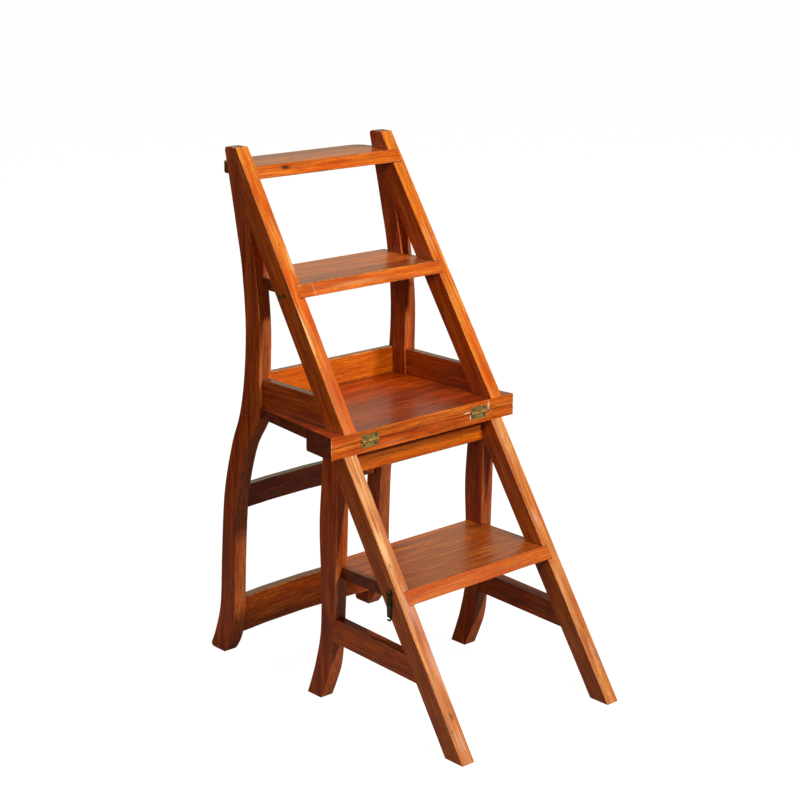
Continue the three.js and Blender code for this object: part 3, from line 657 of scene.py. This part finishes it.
# Mahogany, planed and scuffed by feet: peach and amber instead of orange, paler partly as a painted
# highlight, with small dark knots.
lower_stringer_front_and_sheen = lacquered_wood(
    "scuffed_and_highlit_mahogany_lower_stringer_fronts",
    GRAIN_SLANTED,
    "#EEA45A",
    "#DC7A30",
    "#9A4212",
    marks=STRINGER_MARKS,
)
for name, wood, front in (
    ("lower_stringer_left", lower_stringer_wood, lower_stringer_front_and_sheen),
    ("lower_stringer_right", lower_stringer_wood, lower_stringer_front_and_sheen),
    ("upper_stringer_left", stringer_wood, stringer_front),
    ("upper_stringer_right", stringer_wood, stringer_front),
):
    dressed(
        name,
        SIDEWAYS,
        ALONG_STRINGER,
        [wood, front, sawn_end, stringer_edge_and_sheen],
        EDGE_ROUNDING,
        WORN_TOP,
    )


# Posts and front legs: curved uprights, sawn to their S and sabre shapes from wide boards, so that the
# straight grain runs out at the bends. The posts' tops have stood on the floor and are worn round.
GRAIN_UPRIGHT = (0, math.pi / 2, 0)
UPRIGHT_MARKS = (  # a knot on the left post and its dark streaks
    ((-0.1815, 0.176, 0.756), 0.008, 0.0035, KNOT, 0.9),
    ((-0.1815, 0.205, 0.7), 0.09, 0.004, KNOT, 0.45),
    ((-0.1815, 0.17, 0.8), 0.07, 0.0025, KNOT, 0.35),
    ((-0.1815, 0.23, 0.44), 0.05, 0.004, KNOT, 0.3),
)
# Mahogany, sawn and lacquered: deep red-brown sides with dark streaks that follow the upright grain.
upright_wood = lacquered_wood(
    "lacquered_mahogany_uprights",
    GRAIN_UPRIGHT,
    "#CC560C",
    "#A63A06",
    "#4C1404",
    marks=UPRIGHT_MARKS,
)
# Mahogany, planed and lacquered: pinkish fronts, brightened as painted light so they stay readable in the
# treads' shadows.
upright_front_painted_light = lacquered_wood(
    "planed_mahogany_upright_fronts", GRAIN_UPRIGHT, "#FC8C42", "#E66A2A", "#964016"
)
# Mahogany edges, slightly rubbed and partly a painted highlight: a fine line that parts the dark sides
# from the lit fronts.
upright_edge = lacquered_wood(
    "rubbed_mahogany_upright_edges", GRAIN_UPRIGHT, "#C86E24", "#A84E16", "#5A1E06", wear_and_sheen=0.3
)
for name in ("post_left", "post_right", "front_leg_left", "front_leg_right"):
    dressed(
        name,
        SIDEWAYS,
        UPRIGHT,
        [upright_wood, upright_front_painted_light, sawn_end, upright_edge],
        EDGE_ROUNDING,
        WORN_TOP,
    )


# Cross rails: the bowed crest and mid rails of the chair's back, the back seat rail and the front rail,
# fitted between the uprights with the grain across.

# Mahogany, planed and lacquered: an even glowing orange, the plainest grain on the chair.
rail_wood = lacquered_wood(
    "lacquered_mahogany_rails", GRAIN_ACROSS, "#E87610", "#DA6208", "#A03C04"
)
# Mahogany, bowed and lacquered: dark figure on the back rails, deep brown where they lie in shadow.
back_rail_wood = lacquered_wood(
    "lacquered_mahogany_back_rails", GRAIN_ACROSS, "#F0740C", "#CA5006", "#6C2404"
)
# Mahogany dulled by dust and hands: narrow brown tops that take the wall's grey shine.
rail_top = lacquered_wood(
    "dulled_mahogany_rail_edges", GRAIN_ACROSS, "#9A4A1C", "#843414", "#4A1808", wear_and_sheen=0.2
)
for name, wood in (
    ("crest_rail", back_rail_wood),
    ("mid_rail", back_rail_wood),
    ("seat_rail_back", rail_wood),
    ("front_rail", rail_wood),
):
    dressed(
        name,
        ENDWAYS,
        SIDEWAYS,
        [wood, rail_top, sawn_end, tread_edge],
        EDGE_ROUNDING,
    )


# Side rails: the seat's side rails, which stand on the rear board, and the two low stretchers between
# leg and stringer. They are planed from narrow boards, with the grain from front to back.
GRAIN_LENGTHWAYS = (0, 0, -math.pi / 2)
TRODDEN_GLOSS = 0.25  # share of the lacquer's shine that shoes have left on the stretchers
# Mahogany, planed and lacquered: red-brown sides, between the uprights and the treads in depth.
side_rail_wood = lacquered_wood(
    "lacquered_mahogany_side_rails", GRAIN_LENGTHWAYS, "#CC5A08", "#A83C04", "#521602"
)
# Mahogany dulled by dust and hands: the same grey shine as on the back rail's top.
side_rail_top = lacquered_wood(
    "dulled_mahogany_side_rail_edges",
    GRAIN_LENGTHWAYS,
    "#9A4A1C",
    "#843414",
    "#4A1808",
    wear_and_sheen=0.2,
)
# Mahogany trodden dull: almost no shine, so the tops keep their own red-brown beside the pale floor.
stretcher_top = lacquered_wood(
    "trodden_mahogany_stretcher_tops",
    GRAIN_LENGTHWAYS,
    "#CC5C14",
    "#9E380C",
    "#561A06",
    gloss=TRODDEN_GLOSS,
)
for name, top in (
    ("seat_rail_left", side_rail_top),
    ("seat_rail_right", side_rail_top),
    ("side_stretcher_left", stretcher_top),
    ("side_stretcher_right", stretcher_top),
):
    dressed(
        name,
        SIDEWAYS,
        ENDWAYS,
        [side_rail_wood, top, sawn_end, upright_edge],
        EDGE_ROUNDING,
    )


# Hinges: two small butt hinges of stamped brass, each two leaves with their knuckles round one pin. They
# are let in flush with the boards' front edges and have gone dull with age.
LEAF_ROUNDING = 0.3 * MM
TARNISH_WIDTH = 6.25 * MM  # of a tarnished patch
TARNISH_DETAIL = 3
TARNISH_SPAN = (0.35, 0.62)  # noise at which the metal is fully tarnished and at which it is clean
TARNISH_DULLING = 0.15  # added to the roughness where the noise is lowest
RUBBING_SHINE = 0.1  # taken from the roughness where the noise is highest
TARNISH_DEPTH = 0.1 * MM
TARNISH_RELIEF = 0.3


def worn_metal(name, clean, tarnished, roughness):
    """Old bare metal: a dull tarnish in patches over the stamped surface, rubbed brighter between them."""
    material = bpy.data.materials.new(name)
    material.use_nodes = True
    tree = material.node_tree
    tree.nodes.clear()
    place = add_node(tree, "ShaderNodeTexCoord").outputs["Object"]
    patches = add_node(
        tree,
        "ShaderNodeTexNoise",
        inputs={"Vector": place, "Scale": 1 / TARNISH_WIDTH, "Detail": TARNISH_DETAIL},
    ).outputs["Fac"]
    share = add_node(
        tree,
        "ShaderNodeMapRange",
        inputs={"Value": patches, "From Min": TARNISH_SPAN[0], "From Max": TARNISH_SPAN[1]},
    ).outputs["Result"]
    colour = add_node(
        tree,
        "ShaderNodeMix",
        {"data_type": "RGBA"},
        {"Factor": share, 6: srgb(tarnished), 7: srgb(clean)},
    ).outputs[2]
    dullness = add_node(
        tree,
        "ShaderNodeMapRange",
        inputs={
            "Value": patches,
            "To Min": roughness + TARNISH_DULLING,
            "To Max": roughness - RUBBING_SHINE,
        },
    ).outputs["Result"]
    relief = add_node(
        tree,
        "ShaderNodeBump",
        inputs={"Height": patches, "Strength": TARNISH_RELIEF, "Distance": TARNISH_DEPTH},
    ).outputs["Normal"]
    shader = add_node(
        tree,
        "ShaderNodeBsdfPrincipled",
        inputs={
            "Base Color": colour,
            "Metallic": 1,
            "Roughness": dullness,
            "Normal": relief,
        },
    ).outputs[0]
    add_node(tree, "ShaderNodeOutputMaterial", inputs={"Surface": shader})
    return material


# Brass, stamped and aged: two small straw-yellow plates with soft brown patches and hardly any glint.
aged_brass = worn_metal("aged_stamped_brass", "#F6DA84", "#C0A05C", roughness=0.62)
for side in ("left", "right"):
    for part in ("hinge_leaf_lower_", "hinge_leaf_upper_", "hinge_pin_"):
        dressed(part + side, ENDWAYS, SIDEWAYS, [aged_brass] * 4, LEAF_ROUNDING)


# Hinge screws: eight small slotted steel screws, countersunk into the leaves and turned in until flush, so
# that their slots point every way. The steel has gone dark.
HEAD_SIDES = 24
SHANK_SIDES = 16
SLOT_SEED = 5
SCREW_HEAD_RADIUS = 2.3 * MM
SCREW_HEAD_DEPTH = 1.2 * MM
SCREW_SHANK_RADIUS = 1.2 * MM
SCREW_SHANK_LENGTH = 12.5 * MM
SCREW_SLOT_WIDTH = 0.7 * MM
SLOT_BAR_LENGTH = 1  # of the bar that cuts the slot, far longer than the head is wide
# Mild steel, oxidised: near-black with an olive cast, so the screws are dots and the latch a silhouette.
dark_steel = worn_metal("oxidised_mild_steel", "#9A9678", "#4E4A3A", roughness=0.7)

# One node group sets a screw at each place: a head with a slot cut in it, its shank, and a chance turn.
screw_tree = bpy.data.node_groups.new("slotted_screws", "GeometryNodeTree")
screw_inputs = (  # title, kind and value
    ("Places", "NodeSocketGeometry", None),
    ("Head Radius", "NodeSocketFloat", SCREW_HEAD_RADIUS),
    ("Head Depth", "NodeSocketFloat", SCREW_HEAD_DEPTH),
    ("Shank Radius", "NodeSocketFloat", SCREW_SHANK_RADIUS),
    ("Shank Length", "NodeSocketFloat", SCREW_SHANK_LENGTH),
    ("Slot Width", "NodeSocketFloat", SCREW_SLOT_WIDTH),
    ("Seed", "NodeSocketInt", SLOT_SEED),
    ("Finish", "NodeSocketMaterial", dark_steel),
)
screw_sockets = {
    title: screw_tree.interface.new_socket(title, in_out="INPUT", socket_type=kind).identifier
    for title, kind, value in screw_inputs
}
screw_tree.interface.new_socket("Screws", in_out="OUTPUT", socket_type="NodeSocketGeometry")
given = add_node(screw_tree, "NodeGroupInput").outputs
blank_head = add_node(
    screw_tree,
    "GeometryNodeMeshCone",
    inputs={
        "Vertices": HEAD_SIDES,
        "Radius Top": given["Head Radius"],
        "Radius Bottom": given["Shank Radius"],
        "Depth": given["Head Depth"],
    },
).outputs["Mesh"]
slot_size = add_node(
    screw_tree,
    "ShaderNodeCombineXYZ",
    inputs={"X": SLOT_BAR_LENGTH, "Y": given["Slot Width"], "Z": given["Head Depth"]},
).outputs[0]
head_top = add_node(
    screw_tree, "ShaderNodeCombineXYZ", inputs={"Z": given["Head Depth"]}
).outputs[0]
plain_bar = add_node(
    screw_tree, "GeometryNodeMeshCube", inputs={"Size": slot_size}
).outputs["Mesh"]
slot_bar = add_node(
    screw_tree,
    "GeometryNodeTransform",
    inputs={"Geometry": plain_bar, "Translation": head_top},
).outputs[0]
slotted_head = add_node(
    screw_tree,
    "GeometryNodeMeshBoolean",
    {"operation": "DIFFERENCE"},
    {"Mesh 1": blank_head, "Mesh 2": slot_bar},
).outputs["Mesh"]
half_way_in = add_node(
    screw_tree,
    "ShaderNodeMath",
    {"operation": "MULTIPLY"},
    {0: given["Shank Length"], 1: -0.5},
).outputs[0]
shank_place = add_node(
    screw_tree, "ShaderNodeCombineXYZ", inputs={"Z": half_way_in}
).outputs[0]
plain_shank = add_node(
    screw_tree,
    "GeometryNodeMeshCylinder",
    inputs={
        "Vertices": SHANK_SIDES,
        "Radius": given["Shank Radius"],
        "Depth": given["Shank Length"],
    },
).outputs["Mesh"]
shank = add_node(
    screw_tree,
    "GeometryNodeTransform",
    inputs={"Geometry": plain_shank, "Translation": shank_place},
).outputs[0]
whole_screw = add_node(screw_tree, "GeometryNodeJoinGeometry", inputs={"Geometry": shank})
screw_tree.links.new(slotted_head, whole_screw.inputs["Geometry"])
slot_turn = add_node(
    screw_tree,
    "FunctionNodeRandomValue",
    {"data_type": "FLOAT"},
    {2: 0, 3: math.pi, "Seed": given["Seed"]},
).outputs[1]
facing_out = add_node(
    screw_tree, "ShaderNodeCombineXYZ", inputs={"X": math.pi / 2, "Y": slot_turn}
).outputs[0]
set_screws = add_node(
    screw_tree,
    "GeometryNodeInstanceOnPoints",
    inputs={
        "Points": given["Places"],
        "Instance": whole_screw.outputs[0],
        "Rotation": facing_out,
    },
).outputs[0]
real_screws = add_node(
    screw_tree, "GeometryNodeRealizeInstances", inputs={"Geometry": set_screws}
).outputs[0]
finished_screws = add_node(
    screw_tree,
    "GeometryNodeSetMaterial",
    inputs={"Geometry": real_screws, "Material": given["Finish"]},
).outputs[0]
add_node(screw_tree, "NodeGroupOutput", inputs={"Screws": finished_screws})

# One mesh of four screws for each body, with every head let in where its plain solid stands.
for level, body in (("lower", body_of("seat_front")), ("upper", body_of("seat_rear"))):
    screw_names = [name for name in frame["nodes"] if name.startswith("hinge_screw_" + level)]
    places = []
    for name in screw_names:
        low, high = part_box(name)
        across, upwards = (low[0] + high[0]) / 2, (low[2] + high[2]) / 2
        places.append((across, low[1] + SCREW_HEAD_DEPTH, upwards))
    place_mesh = bpy.data.meshes.new("hinge_screws_" + level)
    place_mesh.from_pydata(places, [], [])
    screws = bpy.data.objects.new("hinge_screws_" + level, place_mesh)
    bpy.context.scene.collection.objects.link(screws)
    drive = screws.modifiers.new("slotted_screws", "NODES")
    drive.node_group = screw_tree
    for title, kind, value in screw_inputs:
        if value is not None:
            drive[screw_sockets[title]] = value
    screws.data = bpy.data.meshes.new_from_object(
        screws.evaluated_get(bpy.context.evaluated_depsgraph_get())
    )
    screws.modifiers.clear()
    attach(screws, body)
    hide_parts(*screw_names)


# Latch: a flat hook of dark steel on each lower stringer, hanging from its screw, and the round-headed
# stud on the upper stringer that it holds when the chair is folded.
for side in ("left", "right"):
    for part in ("latch_hook_", "hook_screw_", "latch_stud_"):
        dressed(part + side, SIDEWAYS, UPRIGHT, [dark_steel] * 4, LEAF_ROUNDING)


# Floor and light: a plain white studio floor under a soft lamp high in front, to the right, with a small
# lamp near the chair and a wide weak one that fills from the left. A pale wall of light far behind the
# chair gives the glossy tops their shine.
FLOOR_HALF = 40  # of the floor's side, in metres
FLOOR_GLOW = 0.97  # share of the floor's paleness that doesn't depend on the lamps
FLOOR_GREY = "#6E6E6C"  # of the rest, which shows the chair's faint shadow
PAPER_REACH = (0.7, 1.6)  # the white paper on the floor, from where it begins to fade to where it ends
PAPER_BOUNCE = (0.16, 0.01)  # how much light it throws back at the chair, on the paper and beyond it
LAMPS = (  # name, place, width, power and whether it shows in the gloss
    ("key_lamp", (1.2, -4.4, 3.2), 0.45, 140, True),
    ("near_lamp", (-0.15, -1.5, 2.15), 0.3, 40, False),
    ("left_fill_lamp", (-3.6, -0.3, 0.95), 1.9, 34, False),
)
LIGHT_TARGET = Vector((0, 0, 0.45))  # the hinges' height
SURROUND_STRENGTH = 0.01
SURROUND_CREAM = "#FFF6D6"
BACKDROP_STRENGTH = 0.6
BACKDROP_SPAN = (0.1, 0.75)  # how squarely behind the chair the wall of light begins and is full
WHITE = "#FFFFFF"
WHITE_STRENGTH = 1.0

floor_mesh = bpy.data.meshes.new("studio_floor")
corners = [(-1, -1), (1, -1), (1, 1), (-1, 1)]
floor_mesh.from_pydata(
    [(x * FLOOR_HALF, y * FLOOR_HALF, 0) for x, y in corners], [], [(0, 1, 2, 3)]
)
floor = bpy.data.objects.new("studio_floor", floor_mesh)
bpy.context.scene.collection.objects.link(floor)
# Matt white paper: to the camera a blank white with a trace of shadow, and to the chair a soft bounce.
floor_material = bpy.data.materials.new("matt_white_floor")
floor_material.use_nodes = True
floor_tree = floor_material.node_tree
floor_tree.nodes.clear()
floor_place = add_node(floor_tree, "ShaderNodeTexCoord").outputs["Object"]
from_chair = add_node(
    floor_tree, "ShaderNodeVectorMath", {"operation": "LENGTH"}, {0: floor_place}
).outputs["Value"]
bounce = add_node(
    floor_tree,
    "ShaderNodeMapRange",
    {"interpolation_type": "SMOOTHSTEP"},
    {
        "Value": from_chair,
        "From Min": PAPER_REACH[0],
        "From Max": PAPER_REACH[1],
        "To Min": PAPER_BOUNCE[0],
        "To Max": PAPER_BOUNCE[1],
    },
).outputs["Result"]
dim = add_node(floor_tree, "ShaderNodeBsdfDiffuse", inputs={"Color": bounce}).outputs[0]
matt = add_node(
    floor_tree, "ShaderNodeBsdfDiffuse", inputs={"Color": srgb(FLOOR_GREY)}
).outputs[0]
glow = add_node(
    floor_tree, "ShaderNodeEmission", inputs={"Color": srgb(WHITE), "Strength": FLOOR_GLOW}
).outputs[0]
seen = add_node(floor_tree, "ShaderNodeLightPath").outputs["Is Camera Ray"]
lit = add_node(floor_tree, "ShaderNodeAddShader", inputs={0: matt, 1: glow}).outputs[0]
floor_shader = add_node(
    floor_tree, "ShaderNodeMixShader", inputs={0: seen, 1: dim, 2: lit}
).outputs[0]
add_node(floor_tree, "ShaderNodeOutputMaterial", inputs={"Surface": floor_shader})
floor_mesh.materials.append(floor_material)

for name, place, size, power, gloss in LAMPS:
    light_data = bpy.data.lights.new(name, "AREA")
    light_data.size = size
    light_data.energy = power
    light = bpy.data.objects.new(name, light_data)
    light.location = place
    light.visible_glossy = gloss
    light.rotation_euler = (LIGHT_TARGET - light.location).to_track_quat("-Z", "Y").to_euler()
    bpy.context.scene.collection.objects.link(light)

# White surround: a blank white to the camera, and to the chair's gloss a cream wall in a dark room.
world = bpy.data.worlds.new("white_surround")
world.use_nodes = True
bpy.context.scene.world = world
surround = world.node_tree
surround.nodes.clear()
outlook = add_node(surround, "ShaderNodeTexCoord").outputs["Generated"]
direction = add_node(surround, "ShaderNodeSeparateXYZ", inputs={"Vector": outlook})
behind = add_node(
    surround,
    "ShaderNodeMapRange",
    {"interpolation_type": "SMOOTHSTEP"},
    {
        "Value": direction.outputs["Y"],
        "From Min": BACKDROP_SPAN[0],
        "From Max": BACKDROP_SPAN[1],
        "To Min": SURROUND_STRENGTH,
        "To Max": BACKDROP_STRENGTH,
    },
).outputs["Result"]
camera_ray = add_node(surround, "ShaderNodeLightPath").outputs["Is Camera Ray"]
strength = add_node(
    surround,
    "ShaderNodeMix",
    {"data_type": "FLOAT"},
    {"Factor": camera_ray, 2: behind, 3: WHITE_STRENGTH},
).outputs[0]
paper = add_node(
    surround,
    "ShaderNodeMix",
    {"data_type": "RGBA"},
    {"Factor": camera_ray, 6: srgb(SURROUND_CREAM), 7: srgb(WHITE)},
).outputs[2]
background = add_node(
    surround, "ShaderNodeBackground", inputs={"Color": paper, "Strength": strength}
).outputs[0]
add_node(surround, "ShaderNodeOutputWorld", inputs={"Surface": background})
bpy.context.scene.view_settings.view_transform = "Standard"  # plain colours, without a film's curve
